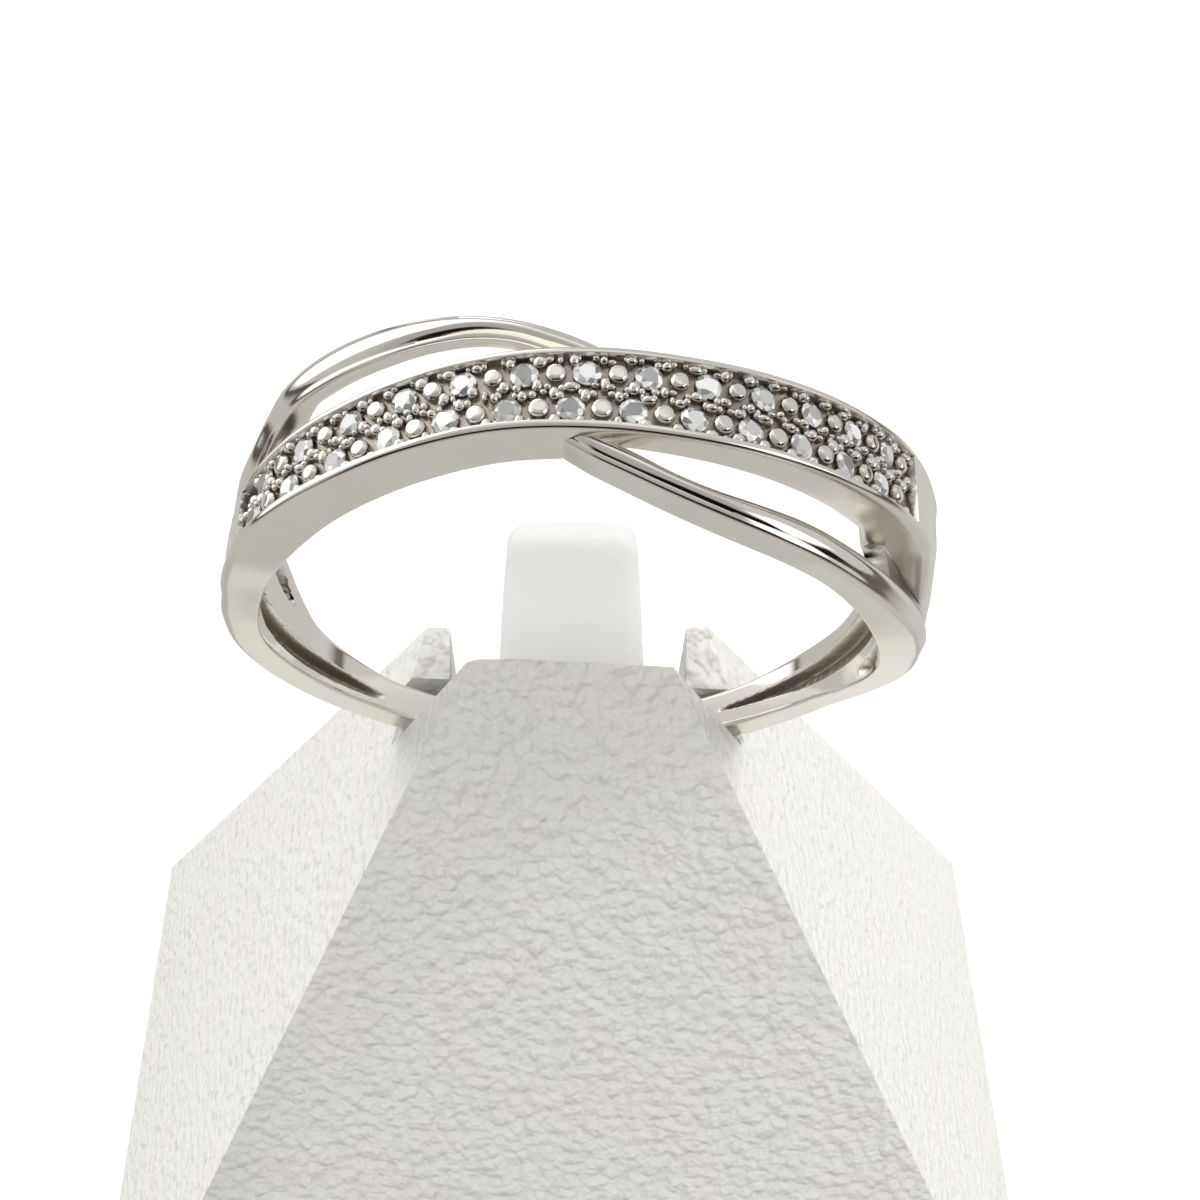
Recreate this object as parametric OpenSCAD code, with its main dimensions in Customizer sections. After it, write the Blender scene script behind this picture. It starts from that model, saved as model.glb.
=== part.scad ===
// Interlocking ring: a band paved with two rows of small stones crosses a plain
// polished band, and both run together into one shank. It stands upright in a
// white pyramid display stand with a slot, a pointed front jaw and a flat tongue.
// Millimetres, +Z up, the viewer on -Y, origin in the middle of the stand's base.

/* [Ring] */
// Inside diameter of the ring
finger_d = 16.5; // [15.5:0.1:17.5]
// Lean of the ring towards the viewer, in degrees
ring_lean = 12; // [10:0.5:14]
// Turn of the ring about the upright line, in degrees
ring_turn = -2; // [-2:0.5:2]
// Roll of the ring in the slot, about its own axis, in degrees
ring_roll = 3.5; // [-10:0.5:10]
// Height of the ring's centre above the table
ring_z = 33.55; // [33.5:0.05:34]
// Place of the ring's centre in front of the stand's middle
ring_y = -1.15; // [-1.3:0.05:-1]

/* [Paved band] */
// Angle from the ring's top to each end of the paved channel
pave_end = 59.5; // [50:0.5:60]
// Stones and discs in one row
cells = 26; // [20:1:28]
// Girdle diameter of a stone
stone_d = 0.68; // [0.5:0.02:0.7]
// Diameter of a metal disc between two stones
disc_d = 0.56; // [0.4:0.02:0.6]
// Diameter of a grain bead
grain_d = 0.27; // [0.2:0.01:0.3]
// Width of the bright rim round the channel
rim_w = 0.2; // [0.12:0.01:0.26]
// Depth of the channel floor below the rim
channel_depth = 0.3; // [0.2:0.01:0.4]

/* [Plain wing] */
// Angle from the ring's top where a gap between the bands begins
gap_start = 8.2; // [6:0.2:12]
// Angle from the ring's top where a gap ends
gap_end = 65; // [63:0.5:66]
// Rise of the domed top of a wing over its edges
wing_dome = 0.16; // [0.05:0.01:0.2]

/* [Shank] */
// Depth of the groove cut into the inside of the shank
groove_depth = 0.45; // [0.2:0.05:0.5]

/* [Stand] */
// Half width of the stand's base
base_x = 17.65; // [16:0.05:20]
// Half depth of the stand's base
base_y = 12.5; // [12.2:0.05:13]
// Height at which the faces of the pyramid would meet
peak_z = 35; // [34.8:0.05:35.4]
// Half length of the short ridge in which they would meet
ridge_x = 0.95; // [0.5:0.05:1.5]
// Distance from the ring's middle plane to the back of the jaw
jaw_gap = 0.76; // [0.74:0.01:0.86]
// Width of the opening in the rear face, between the two horns
horn_gap = 7.3; // [6:0.1:8]
// Slope of the rear flank of the notch, in degrees
flank_slope = 40; // [35:1:45]
// Height of the horn tips
horn_z = 27.9; // [27.5:0.1:28.2]

/* [Tongue] */
// Height of the tongue's top edge
tongue_z = 32.95; // [32:0.05:35]
// Width of the tongue at its top
tongue_w = 3.75; // [3:0.05:4]
// Thickness of the tongue
tongue_t = 0.8; // [0.6:0.1:1.2]

/* [Hidden] */

bore_r = finger_d / 2;
row_step = 2 * (pave_end - 2) / cells;
row_half = 0.215;            // row's distance from the band's middle, in band widths
stagger = row_step / 2;      // the two rows are set half a step apart
half_mark = stagger / 2;
buried = 0.03;               // how far the bands' ends lie inside the shank
seat_gap = 0.04;             // play between a stone and its seat
table_drop = 0.12;           // stone tables lie this far under the rim
web_start = 63.5;              // angle at which the web between the bands begins
shoulder_drop = 0.6;         // fall of the paved band's front edge into the shank
gap_round = 3.2;             // length of a gap's rounded end, in degrees
slot_play = 0.05;            // play between the shank and the slot's floor
bed_back = 0.9;              // the bed reaches this far behind the ring's middle
bed_relief = 0.04;            // depth of the bed's wall let into the jaw
shank_out = 0.98;            // thickness of the shank at its bottom
tongue_x = 0.1;              // the tongue stands a little to the right
tongue_y = 1.45;             // front face of the tongue
tongue_spread = 0.06;        // widening of each side of the tongue per mm down
tongue_foot_z = 19.5;
opening_floor_z = 22.5;
tongue_corner_r = 0.75;
jaw_corner_r = 0.6;

// Paved band. Columns: own angle, front edge, rear edge, top over the bore.
PAVE = [
    [-80, -1.76, 0.90, 1.02],
    [-66, -1.96, -0.42, 1.34],
    [-60, -1.99, -0.30, 1.58],
    [-54, -1.93, -0.04, 1.60],
    [-47, -1.80, 0.24, 1.56],
    [-38, -1.65, 0.49, 1.50],
    [-28, -1.45, 0.74, 1.46],
    [-14, -1.23, 1.00, 1.42],
    [0, -1.17, 1.14, 1.41],
    [14, -1.12, 1.22, 1.42],
    [28, -0.99, 1.40, 1.46],
    [38, -0.86, 1.57, 1.50],
    [47, -0.70, 1.73, 1.56],
    [54, -0.56, 1.88, 1.62],
    [60, -0.45, 1.96, 1.66],
    [67, -0.48, 1.97, 1.73],
    [80, -1.20, 1.72, 1.80]
];

// Wings. Columns: own angle, outer edge, gap edge, top over the bore. Both begin
// alike under the paved band, and end in their own way in the shank.
WING_START = [
    [-5, 1.10, 0.60, 0.90],
    [0, 1.58, 0.90, 0.90],
    [6, 2.00, 1.30, 0.90],
    [12, 2.34, 1.70, 0.90],
    [18, 2.58, 1.92, 0.90],
    [25, 2.75, 1.99, 0.91],
    [35, 2.85, 1.97, 0.93],
    [45, 2.87, 1.95, 0.95]
];
WING_RIGHT_END = [
    [55, 2.88, 1.92, 1.04],
    [66, 2.79, 1.88, 1.16],
    [74, 2.62, 1.70, 1.12],
    [84, 2.26, 1.35, 0.97]
];
WING_LEFT_END = [
    [55, 2.78, 1.92, 0.94],
    [62, 2.56, 1.84, 0.82],
    [70, 2.08, 1.40, 0.82],
    [84, 1.90, 0.90, 0.92]
];

// Shank, all the way round. Columns: own angle from the top by way of the right
// side, front edge, rear edge, outside over the bore at the front, at the rear.
// Up to 80 degrees, and on the left likewise, it is a low web that fills the valley
// between the paved band and the wing.
SHANK = [
    [50, -2.84, 1.70, 0.30, 0.40],
    [60, -2.84, 1.88, 0.42, 0.50],
    [70, -2.74, 1.92, 0.66, 0.80],
    [80, -2.44, 1.73, 1.02, 1.80],
    [90, -2.01, 1.08, 0.94, 1.80],
    [105, -1.34, 0.84, 0.84, 1.34],
    [120, -0.81, 0.86, 0.84, 0.98],
    [145, -0.56, 0.61, 0.95, 0.98],
    [180, -0.55, 0.55, 0.98, 0.98],
    [215, -0.61, 0.44, 0.98, 0.95],
    [228, -0.74, 0.62, 0.96, 0.90],
    [240, -0.92, 0.84, 0.95, 0.88],
    [248, -1.08, 1.34, 0.94, 0.90],
    [256, -1.28, 1.80, 0.94, 0.94],
    [270, -1.66, 1.92, 0.95, 1.00],
    [280, -1.78, 1.93, 1.04, 0.92],
    [290, -1.86, 2.06, 0.76, 0.62],
    [300, -1.90, 2.60, 0.50, 0.42],
    [310, -1.76, 2.80, 0.40, 0.30]
];

// Recesses in the inside of the shank: on each side a long groove, pointed below,
// and a small pocket beside its upper end, with a narrow bridge left between them.
// Columns: own angle, front edge, rear edge, share of the full depth.
GROOVE_RIGHT = [
    [86, -1.02, 0.50, 0.6],
    [100, -0.70, 0.46, 1],
    [115, -0.46, 0.38, 1],
    [130, -0.16, 0.25, 0.9],
    [143, -0.04, 0.10, 0.5]
];
GROOVE_LEFT = [
    [-141, -0.38, -0.14, 0.5],
    [-130, -0.50, 0.00, 0.9],
    [-115, -0.72, -0.06, 1],
    [-100, -0.95, -0.16, 1],
    [-86, -1.20, -0.50, 0.6]
];
POCKET_RIGHT = [[83, -2.02, -1.45, 0.7], [91, -1.72, -1.24, 0.7], [99, -1.42, -1.14, 0.5]];
POCKET_LEFT = [[-110, 0.70, 0.86, 0.5], [-104, 0.74, 1.32, 0.7], [-96, 0.90, 1.62, 0.7]];

// The front edges taper inwards towards the bore by this much, by own angle.
FLARE = [[0, 0], [25, 0.02], [50, 0.15], [70, 0.1], [90, 0], [180, 0]];

// Smooth curve through one column of a table, by own angle.
function row_at(table, a, i = 0) =
    (i >= len(table) - 2 || a < table[i + 1][0]) ? i : row_at(table, a, i + 1);
function slope(table, c, i) =
    let (j = max(i - 1, 0), k = min(i + 1, len(table) - 1))
    (table[k][c] - table[j][c]) / (table[k][0] - table[j][0]);
function smooth(table, c, a) =
    let (
        i = row_at(table, a),
        d = table[i + 1][0] - table[i][0],
        s = (a - table[i][0]) / d,
        t = 1 - s
    )
    table[i][c] * (1 + 2 * s) * t * t + slope(table, c, i) * d * s * t * t
    + table[i + 1][c] * s * s * (3 - 2 * s) - slope(table, c, i + 1) * d * s * s * t;

function steps(from, to, step) =
    let (n = ceil((to - from) / step)) [for (i = [0:n]) from + (to - from) * i / n];
function ramp(x) = let (t = min(max(x, 0), 1)) t * t * (3 - 2 * t);
function mix(a, b, t) = a + (b - a) * t;

// Solid swept round the bore: one section of [y, height over the bore] per angle.
module sweep(angles, sections) {
    n = len(sections[0]);
    last = len(angles) - 1;
    points = [
        for (i = [0:last]) for (p = sections[i])
            [(bore_r + p[1]) * sin(angles[i]), p[0], (bore_r + p[1]) * cos(angles[i])]
    ];
    sides = [
        for (i = [0:last - 1]) for (j = [0:n - 1])
            let (k = (j + 1) % n, a = i * n, b = a + n)
            each [[a + j, b + j, b + k], [a + j, b + k, a + k]]
    ];
    start = [for (j = [0:n - 1]) j];
    end = [for (j = [n - 1:-1:0]) last * n + j];
    polyhedron(points, concat(sides, [start, end]));
}

// Section of a band: walls at front and rear, each from its own foot to its own
// top, rounded corners, and a low dome between the two tops.
function band_section(front, rear, foot_f, foot_r, top_f, top_r, dome, round, flare_f, flare_r) =
    let (w = rear - front)
    [
        [front + flare_f, foot_f + 0.08],
        [front + flare_f + 0.08, foot_f],
        [rear - flare_r - 0.08, foot_r],
        [rear - flare_r, foot_r + 0.08],
        [rear, top_r - round],
        [rear - 0.3 * round, top_r - 0.3 * round],
        [rear - round, top_r],
        [rear - round - 0.25 * (w - 2 * round), mix(top_r, top_f, 0.25) + 0.75 * dome],
        [rear - round - 0.5 * (w - 2 * round), mix(top_r, top_f, 0.5) + dome],
        [rear - round - 0.75 * (w - 2 * round), mix(top_r, top_f, 0.75) + 0.75 * dome],
        [front + round, top_f],
        [front + 0.3 * round, top_f - 0.3 * round],
        [front, top_f - round]
    ];

// Height of a band's foot on the side of a gap: the underside is hollowed there.
function undercut(a) =
    ramp((a + 6) / 12) * ramp((66 - a) / 12) * mix(0.62, 0.35, min(max(a, 0) / 50, 1));

function hidden(a) = buried * (ramp((a - 68) / 8) + ramp((a - 78) / 2));
function shoulder(a) = shoulder_drop * ramp((a - 62) / 18);
function pave_section(a) =
    let (
        sink = hidden(abs(a)),
        front = smooth(PAVE, 1, a) + sink,
        rear = smooth(PAVE, 2, a) - sink,
        top = smooth(PAVE, 3, a) - sink,
        flare = smooth(FLARE, 1, abs(a))
    )
    band_section(front, rear, undercut(a) + sink, undercut(-a) + sink,
        top - shoulder(a), top, 0, 0.06,
        a < 0 ? flare : 0, a > 0 ? flare : 0);

module pave_band() {
    angles = steps(-80, 80, 4);
    sweep(angles, [for (a = angles) pave_section(a)]);
}

// A wing on the right, from under the paved band in front to the shank. The left
// wing is made the same way and turned half round.
function wing_table(left) = concat(WING_START, left ? WING_LEFT_END : WING_RIGHT_END);

function wing_section(table, a) =
    let (
        sink = hidden(a),
        front = -smooth(table, 1, a) + sink,
        rear = -smooth(table, 2, a) - sink,
        top = smooth(table, 3, a) - sink
    )
    band_section(front, rear, sink, 0.4 * ramp(a / 10), top, top - 0.06, wing_dome, 0.05,
        smooth(FLARE, 1, abs(a)), 0);

module wing(left) {
    table = wing_table(left);
    angles = concat(steps(-5, 25, 3), steps(29, 84, 4));
    rotate([0, 0, left ? 180 : 0]) sweep(angles, [for (a = angles) wing_section(table, a)]);
}

// Lower half of the ring, one thick band, whose ends begin inside the two bands.
function shank_section(a) =
    let (
        u = min(a, 360 - a),
        flare = smooth(FLARE, 1, u),
        inset = 1.5 * buried * (1 - ramp((u - web_start) / 10))
    )
    band_section(smooth(SHANK, 1, a) + inset, smooth(SHANK, 2, a) - inset, inset, inset,
        smooth(SHANK, 3, a) - 0.07, smooth(SHANK, 4, a) - 0.07, 0.1, 0.08, flare, flare);

module shank() {
    angles = concat(steps(web_start, 120, 4), steps(126, 234, 6), steps(240, 360 - web_start, 4));
    sweep(angles, [for (a = angles) shank_section(a)]);
}

// Cutter for the gap between the paved band and the wing, with round ends.
function gap_swell(a) =
    let (
        s = min(1, (a - gap_start) / gap_round),
        e = min(1, (gap_end - a) / gap_round)
    )
    sqrt(max(0, 1 - (1 - s) * (1 - s))) * sqrt(max(0, 1 - (1 - e) * (1 - e)));

module gap_cutter(left) {
    wing_edges = wing_table(left);
    angles = concat([for (u = [0.01, 0.15, 0.4, 0.7]) gap_start + u * gap_round],
        steps(gap_start + gap_round, gap_end - gap_round, 4),
        [for (u = [0.7, 0.4, 0.15, 0.01]) gap_end - u * gap_round]);
    sweep(angles, [
        for (a = angles)
            let (
                near = left ? -smooth(PAVE, 2, -a) : smooth(PAVE, 1, a),
                far = -smooth(wing_edges, 2, a),
                middle = mix(far, near, 0.45),
                y0 = mix(middle, far, gap_swell(a)),
                y1 = mix(middle, near, gap_swell(a))
            )
            [[y0, -1], [y1, -1], [y1, 3], [y0, 3]]
    ]);
}

// Channel in the top of the paved band, in which the stones are set.
module channel() {
    angles = steps(-pave_end, pave_end, 4);
    sweep(angles, [
        for (a = angles)
            let (
                front = smooth(PAVE, 1, a) + rim_w,
                rear = smooth(PAVE, 2, a) - rim_w,
                top = smooth(PAVE, 3, a)
            )
            [[front + 0.05, top - channel_depth], [rear - 0.05, top - channel_depth],
             [rear, top + 0.5], [front, top + 0.5]]
    ]);
}

// Cutter for one recess in the inside of the shank, with slanting walls.
module recess(table) {
    angles = steps(table[0][0], table[len(table) - 1][0], 5);
    sweep(angles, [
        for (a = angles)
            let (
                front = smooth(table, 1, a),
                rear = smooth(table, 2, a),
                slant = 0.2 * (rear - front),
                depth = groove_depth * smooth(table, 3, a)
            )
            [[front, -1], [rear, -1], [rear - slant, depth], [front + slant, depth]]
    ]);
}

// Places a small part on the paved band: z points away from the ring's axis.
module on_band(a, across, drop) {
    front = smooth(PAVE, 1, a);
    rear = smooth(PAVE, 2, a);
    top = smooth(PAVE, 3, a);
    y = (front + rear) / 2 + across * (rear - front);
    rotate([0, a, 0]) translate([0, y, bore_r + top - drop]) children();
}

function cell_angle(k, row) = (k - (cells - 1) / 2) * row_step + row * half_mark;
function is_stone(k) = k % 2 == 0;

// A cut stone: octagonal table, eight crown facets, thin girdle, pavilion.
module stone() {
    cylinder(h = 0.09, r1 = stone_d / 2, r2 = 0.3 * stone_d, $fn = 8);
    translate([0, 0, -0.03]) cylinder(h = 0.03, r = stone_d / 2, $fn = 8);
    translate([0, 0, -0.3]) cylinder(h = 0.27, r1 = 0.02, r2 = stone_d / 2, $fn = 8);
}

module seat() {
    translate([0, 0, -0.34])
        cylinder(h = 0.3, r1 = 0.05 + seat_gap, r2 = stone_d / 2 + seat_gap, $fn = 8);
    translate([0, 0, -0.04]) cylinder(h = 0.54, r = stone_d / 2 + seat_gap, $fn = 8);
}

// A bright metal disc with a flat top, set where a row has no stone.
module disc() {
    translate([0, 0, -0.3]) cylinder(h = 0.24, r = disc_d / 2, $fn = 10);
    translate([0, 0, -0.06]) cylinder(h = 0.1, r1 = disc_d / 2, r2 = 0.34 * disc_d, $fn = 10);
}

module grain() {
    translate([0, 0, -0.26]) cylinder(h = 0.3, r1 = 0.6 * grain_d, r2 = 0.3 * grain_d, $fn = 7);
}

// The cast body of the ring without its setting.
module ring_body() {
    difference() {
        union() {
            pave_band();
            for (left = [false, true]) wing(left);
            shank();
        }
        gap_cutter(false);
        rotate([0, 0, 180]) gap_cutter(true);
        channel();
        for (table = [GROOVE_RIGHT, GROOVE_LEFT, POCKET_RIGHT, POCKET_LEFT]) recess(table);
    }
}

module setting() {
    for (row = [-1, 1]) for (k = [0:cells - 1])
        if (!is_stone(k)) on_band(cell_angle(k, row), row * row_half, table_drop) disc();
    for (row = [-1, 1]) for (k = [0:cells]) for (side = [-1, 1])
        on_band(cell_angle(k - 0.5, row), row * row_half + side * 0.155, table_drop) grain();
}

module seats() {
    for (row = [-1, 1]) for (k = [0:cells - 1])
        if (is_stone(k)) on_band(cell_angle(k, row), row * row_half, table_drop + 0.09) seat();
}

module place_ring() {
    translate([0, ring_y, ring_z])
        rotate([0, 0, ring_turn]) rotate([ring_lean, 0, 0]) rotate([0, ring_roll, 0]) children();
}

module ring_band() {
    color("silver") place_ring() difference() {
        union() {
            ring_body();
            setting();
        }
        seats();
    }
}

module diamonds() {
    color("lightgray") place_ring()
        for (row = [-1, 1]) for (k = [0:cells - 1])
            if (is_stone(k)) on_band(cell_angle(k, row), row * row_half, table_drop + 0.09) stone();
}

// Both side views of the stand are simple outlines, and it is what they share.
module pyramid() {
    intersection() {
        translate([0, base_y + 1, 0]) rotate([90, 0, 0]) linear_extrude(2 * base_y + 2)
            polygon([[-base_x, 0], [base_x, 0], [ridge_x, peak_z], [-ridge_x, peak_z]]);
        rotate([90, 0, 90]) linear_extrude(2 * base_x + 2, center = true)
            polygon([[-base_y, 0], [base_y, 0], [0, peak_z]]);
    }
}

// The V notch runs right through from side to side. Its front flank leans as
// the ring does and meets the front face in the jaw's sharp top edge.
lean_run = tan(ring_lean);
jaw_back_y = ring_y - jaw_gap / cos(ring_lean) + ring_z * lean_run;
horn_y = base_y * (1 - horn_z / peak_z);
flank_rise = tan(flank_slope);
notch_z = (horn_z - (horn_y - jaw_back_y) * flank_rise) / (1 + lean_run * flank_rise);
notch_y = jaw_back_y - notch_z * lean_run;
jaw_z = (jaw_back_y + base_y) / (base_y / peak_z + lean_run);
jaw_half = base_x - (base_x - ridge_x) * jaw_z / peak_z;

module notch() {
    rotate([90, 0, 90]) linear_extrude(2 * base_x, center = true)
        polygon([
            [notch_y, notch_z],
            [base_y, notch_z + (base_y - notch_y) * flank_rise],
            [base_y, peak_z + 10],
            [jaw_back_y - (peak_z + 10) * lean_run, peak_z + 10]
        ]);
}

// Bed for the lower part of the ring, a disc let a little way into the jaw.
module ring_bed() {
    translate([0, ring_y, ring_z]) rotate([0, 0, ring_turn]) rotate([ring_lean, 0, 0])
        translate([0, bed_back, 0]) rotate([90, 0, 0])
            cylinder(h = bed_back + jaw_gap + bed_relief, r = bore_r + shank_out + slot_play,
                $fn = 180);
}

module jaw_corner_cut() {
    translate([0, 0, jaw_z - jaw_corner_r]) rotate([90, 0, 0])
        linear_extrude(2 * base_y, center = true) difference() {
            translate([jaw_half - 0.35, 0]) square([2, 2 * jaw_corner_r]);
            translate([jaw_half - 0.35, 0]) circle(r = jaw_corner_r, $fn = 48);
        }
}

module tongue_outline(play) {
    top_x = tongue_w / 2 + play;
    foot_x = top_x + (tongue_z - tongue_foot_z) * tongue_spread;
    hull() {
        polygon([[-foot_x, tongue_foot_z - play], [foot_x, tongue_foot_z - play],
            [top_x, tongue_z - 2], [-top_x, tongue_z - 2]]);
        for (s = [-1, 1]) translate([s * (top_x - tongue_corner_r), tongue_z - tongue_corner_r])
            circle(r = tongue_corner_r, $fn = 32);
    }
}

module tongue_plate(play) {
    translate([tongue_x, tongue_y + tongue_t + play, 0]) rotate([90, 0, 0])
        linear_extrude(tongue_t + 2 * play) tongue_outline(play);
}

module display_stand() {
    color("whitesmoke") difference() {
        pyramid();
        notch();
        ring_bed();
        translate([-horn_gap / 2, 0.4, opening_floor_z]) cube([horn_gap, base_y, peak_z]);
        tongue_plate(0.05);
        for (s = [-1, 1]) scale([s, 1, 1]) jaw_corner_cut();
    }
}

module stand_tongue() {
    color("white") tongue_plate(0);
}

ring_band();
diamonds();
display_stand();
stand_tongue();
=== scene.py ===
# %% [markdown]
# # An interlocking ring on its display stand
# A slim white gold ring: one band is paved with two rows of small stones, a plain
# polished band crosses under it, and both run together into one shank. It stands in
# the slot of a white pyramid. The lesson builds the ring as smooth surfaces from
# tables of widths and heights, sets the stones, dresses the stand, and lights it all
# softly. Lengths are in millimetres in the tables and in metres in Blender.

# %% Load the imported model
import math
import bmesh
import bpy
import numpy as np
from mathutils import Matrix, Vector


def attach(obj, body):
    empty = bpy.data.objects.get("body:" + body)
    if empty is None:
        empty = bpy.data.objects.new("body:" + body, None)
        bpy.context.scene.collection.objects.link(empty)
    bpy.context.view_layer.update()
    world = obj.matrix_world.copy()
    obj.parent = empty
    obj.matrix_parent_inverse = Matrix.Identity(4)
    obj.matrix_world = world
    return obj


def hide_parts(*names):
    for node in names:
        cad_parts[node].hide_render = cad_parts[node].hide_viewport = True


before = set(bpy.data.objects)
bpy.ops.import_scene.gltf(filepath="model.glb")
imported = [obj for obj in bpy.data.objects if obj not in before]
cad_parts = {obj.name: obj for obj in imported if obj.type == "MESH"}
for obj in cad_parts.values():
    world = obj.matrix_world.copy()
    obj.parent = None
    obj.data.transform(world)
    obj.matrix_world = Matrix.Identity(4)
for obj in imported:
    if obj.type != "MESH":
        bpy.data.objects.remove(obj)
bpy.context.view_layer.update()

MM = 0.001
print("CAD nodes:", sorted(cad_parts))

# %% [markdown]
# ## Curves through tables
# A jeweller measures a band at a few angles and draws a fair curve through the marks.
# A spline object could do that, but a short function on whole arrays gives the same
# curve for thousands of angles at once.

# %% Fair curves
def curve(table, column, at):
    """Cubic through one column of a table. Between two marks the value starts and ends
    with the mean slope of the neighbouring marks, so that the curve has no kink."""
    table = np.asarray(table, float)
    x, y = table[:, 0], table[:, column]
    at = np.clip(np.asarray(at, float), x[0], x[-1])
    order = np.arange(len(x))
    low, high = np.maximum(order - 1, 0), np.minimum(order + 1, len(x) - 1)
    lean = (y[high] - y[low]) / (x[high] - x[low])
    i = np.clip(np.searchsorted(x, at, side="right") - 1, 0, len(x) - 2)
    d = x[i + 1] - x[i]
    s = (at - x[i]) / d
    t = 1 - s
    return (y[i] * (1 + 2 * s) * t * t + lean[i] * d * s * t * t
            + y[i + 1] * s * s * (3 - 2 * s) - lean[i + 1] * d * s * s * t)


def ramp(x):
    """0 below 0, 1 above 1, and 3x^2 - 2x^3 between, which leaves and arrives level."""
    t = np.clip(x, 0, 1)
    return t * t * (3 - 2 * t)


def mix(a, b, t):
    """a where t is 0, b where it is 1, and evenly between."""
    return a + (b - a) * t


# %% [markdown]
# ## The ring's own measures
# Every mark has an angle from the ring's top, edges along the finger (front is
# negative) and a height over the bore. The two wings start alike under the paved
# band and end a little differently, as on the real, hand-finished ring.

# %% Tables of the bands
BORE = 8.25
LEAN, TURN, ROLL = map(math.radians, (12, -2, 3.5))
RING_AT = np.array([0, -1.15, 33.55])

# angle, front edge, rear edge, top
PAVED = np.array([
    [-80, -1.77, 0.90, 1.00], [-66, -1.935, -0.42, 1.335], [-60, -1.95, -0.30, 1.50],
    [-54, -1.91, -0.04, 1.57], [-47, -1.80, 0.24, 1.56], [-38, -1.65, 0.49, 1.50],
    [-28, -1.45, 0.74, 1.46], [-14, -1.23, 1.00, 1.42], [0, -1.17, 1.14, 1.41],
    [14, -1.12, 1.22, 1.42], [28, -0.99, 1.40, 1.46], [38, -0.86, 1.57, 1.50],
    [47, -0.70, 1.73, 1.56], [54, -0.56, 1.88, 1.62], [60, -0.45, 1.96, 1.66],
    [67, -0.48, 1.97, 1.73], [80, -1.20, 1.72, 1.82]])
# angle, outer edge, edge at the gap, top
WING_START = [
    [-5, 1.10, 0.60, 0.90], [0, 1.58, 0.90, 0.90], [6, 2.00, 1.30, 0.90],
    [12, 2.34, 1.70, 0.90], [18, 2.58, 1.92, 0.90], [25, 2.75, 1.99, 0.91],
    [35, 2.85, 1.97, 0.93], [45, 2.87, 1.95, 0.95]]
WING_RIGHT = np.array(WING_START + [
    [55, 2.88, 1.92, 1.04], [66, 2.79, 1.88, 1.16], [74, 2.62, 1.70, 1.12],
    [84, 2.26, 1.35, 0.97]])
WING_LEFT = np.array(WING_START + [
    [55, 2.78, 1.92, 0.94], [62, 2.56, 1.84, 0.82], [70, 2.08, 1.40, 0.82],
    [84, 1.90, 0.90, 0.92]])
# angle, front edge, rear edge, height in front, height behind
SHANK = np.array([
    [50, -2.84, 1.70, 0.30, 0.40], [60, -2.84, 1.88, 0.42, 0.50],
    [70, -2.74, 1.92, 0.66, 0.80], [80, -2.44, 1.73, 1.02, 1.76],
    [90, -2.01, 1.08, 0.94, 1.80], [105, -1.34, 0.84, 0.84, 1.34],
    [120, -0.81, 0.86, 0.84, 0.98], [145, -0.56, 0.61, 0.95, 0.98],
    [180, -0.55, 0.55, 0.98, 0.98], [215, -0.61, 0.44, 0.98, 0.95],
    [228, -0.74, 0.62, 0.96, 0.90], [240, -0.92, 0.84, 0.95, 0.88],
    [248, -1.08, 1.34, 0.94, 0.90], [256, -1.28, 1.80, 0.94, 0.94],
    [270, -1.66, 1.92, 0.95, 1.00], [280, -1.78, 1.93, 1.04, 0.92],
    [290, -1.86, 2.06, 0.76, 0.62], [300, -1.90, 2.60, 0.50, 0.42],
    [310, -1.76, 2.80, 0.40, 0.30]])
# angle, how much narrower a band is at its foot
TAPER = np.array([[0, 0], [25, 0.02], [50, 0.15], [70, 0.1], [90, 0], [180, 0]])
# angle where a gap ends, and how much of it is the round end
GAP_END, GAP_ROUND = 65, 3.2
across = curve(PAVED, 2, 0) - curve(PAVED, 1, 0)
print(f"bore {2 * BORE} mm, paved band {across:.2f} mm wide at the top")


# %% From the ring's angles to places
def turn(axis, angle):
    return np.array(Matrix.Rotation(angle, 3, axis))


SET_UP = turn("Z", TURN) @ turn("X", LEAN) @ turn("Y", ROLL)


def place(angle, along, height):
    """A point at this angle from the ring's top, this far along the finger and this high
    over the bore, turned as the ring stands in its slot. In metres."""
    a = np.radians(angle)
    r = BORE + height
    p = np.stack(np.broadcast_arrays(r * np.sin(a), along, r * np.cos(a)), -1)
    return (p @ SET_UP.T + RING_AT) * MM


def half_turn(side):
    """The left half of the ring is the right half turned half round: -1 or 1."""
    return -1 if side == "left" else 1


# %% [markdown]
# ## From grids to meshes
# A loop is carried along a path, and each loop is one row of a grid. Rows and
# columns make quads, the ends are closed with one flat face each, and several such
# shells go into one mesh.

# %% Shells and meshes
def shell(points, caps=True):
    """Closed skin over a grid of points (rows, columns, 3), whose columns run round."""
    rows, cols = points.shape[:2]
    r, c = np.meshgrid(np.arange(rows - 1), np.arange(cols), indexing="ij")
    a, b = r * cols + c, r * cols + (c + 1) % cols
    quads = np.stack([a, a + cols, b + cols, b], -1).reshape(-1, 4)
    ends = [list(range(cols)), list(range(rows * cols - 1, (rows - 1) * cols - 1, -1))]
    return points.reshape(-1, 3), quads.tolist() + (ends if caps else [])


def gather(shells):
    """Several shells as one list of points and one list of faces."""
    start, points, faces = 0, [], []
    for p, f in shells:
        points.append(p)
        faces += [[i + start for i in face] for face in f]
        start += len(p)
    return np.concatenate(points), faces


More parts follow.
